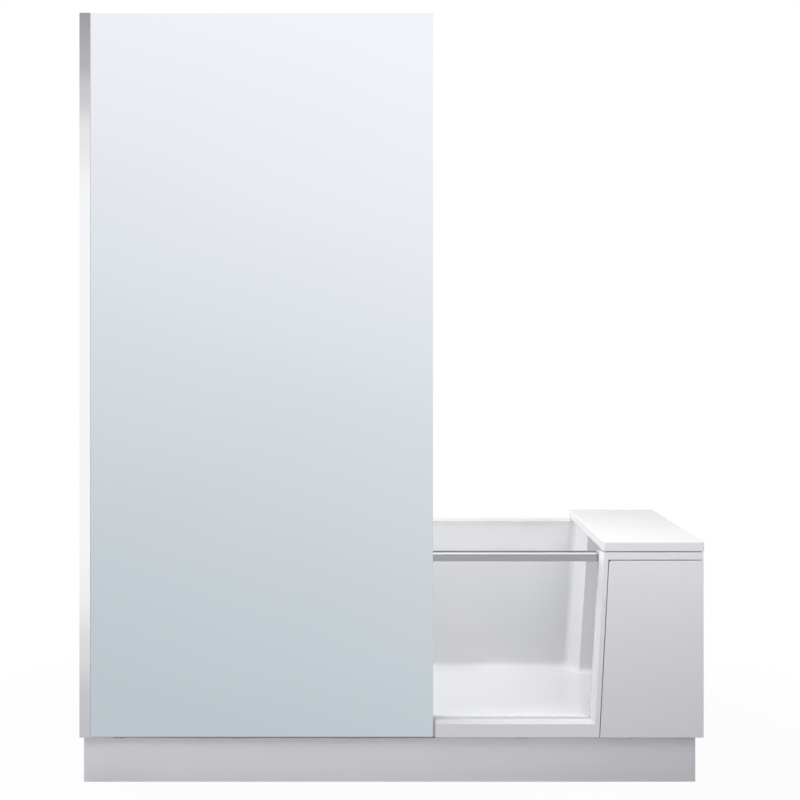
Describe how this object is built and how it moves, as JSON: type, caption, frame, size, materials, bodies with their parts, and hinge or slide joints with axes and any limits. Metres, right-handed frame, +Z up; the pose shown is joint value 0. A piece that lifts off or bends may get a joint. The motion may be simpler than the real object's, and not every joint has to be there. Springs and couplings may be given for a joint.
{
  "type": "walk-in bathtub with door",
  "caption": "Walk-in bath with a low clear door that opens inwards, a fixed full-height mirrored screen on a wall profile, a recessed plinth and a lift-off bench lid over the backrest end.",
  "frame": {"origin": "on the room floor, under the middle of the whole bath's box", "axes": "+Z up, -Y out of the front face with the door, +Y to the rear wall, -X to the side wall that carries the screen's profile, +X to the lid and the free end"},
  "size_m": [1.7, 0.75, 2.1],
  "materials": {
    "tub_acrylic": "glossy white sanitary acrylic",
    "surround_white": "glossy white moulding",
    "panel_white": "satin-gloss white panel",
    "plinth_white": "satin white board",
    "lid_white": "satin-gloss white slab",
    "screen_mirror": "pale blue-grey mirrored safety glass",
    "door_clear": "clear toughened glass",
    "profile_chrome": "polished profile",
    "rail_chrome": "polished rail",
    "fitting_chrome": "polished chrome fitting",
    "stile_aluminium": "anodised",
    "frame_steel": "galvanised steel tube and plate",
    "fastener_steel": "zinc-plated steel",
    "seal_rubber": "grey elastomer seal",
    "seal_clear": "translucent grey seal profile",
    "pad_rubber": "black rubber",
    "trim_grey": "dark grey moulded trim",
    "pipe_plastic": "light grey polypropylene",
    "nylon_dark": "black nylon",
    "board_wood": "resin-coated chipboard"
  },
  "bodies": {
    "root": {"tub_shell": "tub_acrylic", "door_surround": "surround_white", "front_panel": "panel_white", "panel_clips": "fastener_steel", "end_panel": "panel_white", "base_board": "board_wood", "support_rails": "frame_steel", "cross_members": "frame_steel", "end_posts": "frame_steel", "skirt_brackets": "frame_steel", "end_brackets": "frame_steel", "foot_studs": "fastener_steel", "foot_nuts": "fastener_steel", "foot_pads": "pad_rubber", "plinth_front": "plinth_white", "plinth_end": "plinth_white", "plinth_clips": "nylon_dark", "wall_anchors": "frame_steel", "wall_profile": "profile_chrome", "profile_gasket": "seal_rubber", "profile_cap": "profile_chrome", "screen_glass": "screen_mirror", "screen_tape": "seal_rubber", "screen_shoe": "stile_aluminium", "door_gasket": "seal_rubber", "lower_pivot_bracket": "fitting_chrome", "upper_pivot_bracket": "fitting_chrome", "pivot_pins": "fastener_steel", "pivot_screws": "fastener_steel", "strike_block": "fitting_chrome", "drain_flange": "fitting_chrome", "drain_gasket": "seal_rubber", "trap_body": "pipe_plastic", "outlet_nut": "nylon_dark", "waste_outlet": "pipe_plastic", "overflow_plate": "fitting_chrome", "overflow_gasket": "seal_rubber", "overflow_elbow": "pipe_plastic", "overflow_pipe": "pipe_plastic", "lift_cable": "nylon_dark", "cable_clips": "nylon_dark", "lid_pads": "pad_rubber"},
    "door": {"door_glass": "door_clear", "door_rail": "rail_chrome", "rail_end_caps": "trim_grey", "grip_strip": "trim_grey", "hinge_stile": "stile_aluminium", "pivot_bushes": "nylon_dark", "door_bottom_seal": "seal_clear", "door_side_seal": "seal_clear"},
    "bolt": {"lock_bolt": "fastener_steel", "lock_thumb": "trim_grey"},
    "bench_lid": {"lid": "lid_white", "lid_locators": "pad_rubber"},
    "plug": {"drain_plug": "fitting_chrome", "plug_seal": "pad_rubber"},
    "knob": {"overflow_knob": "fitting_chrome"}
  },
  "joints": [
    {"name": "door_hinge", "type": "hinge", "parent": "root", "child": "door", "pos_m": [0.091, -0.334, 0.39], "axis": [0, 0, 1], "range_deg": [0, 90]},
    {"name": "bolt_slide", "type": "slide", "parent": "door", "child": "bolt", "axis": [1, 0, 0], "range_m": [0, 0.014]},
    {"name": "lid_lift", "type": "slide", "parent": "root", "child": "bench_lid", "axis": [0, 0, 1], "range_m": [0, 0.15]},
    {"name": "overflow_turn", "type": "hinge", "parent": "root", "child": "knob", "pos_m": [-0.77, 0, 0.56], "axis": [1, 0, 0], "range_deg": [0, 90]},
    {"name": "plug_lift", "type": "slide", "parent": "root", "child": "plug", "axis": [0, 0, 1], "range_m": [0, 0.01]}
  ],
  "couplings": [
    {"joint": "plug_lift", "follows": "overflow_turn", "m_per_rad": 0.006366}
  ]
}
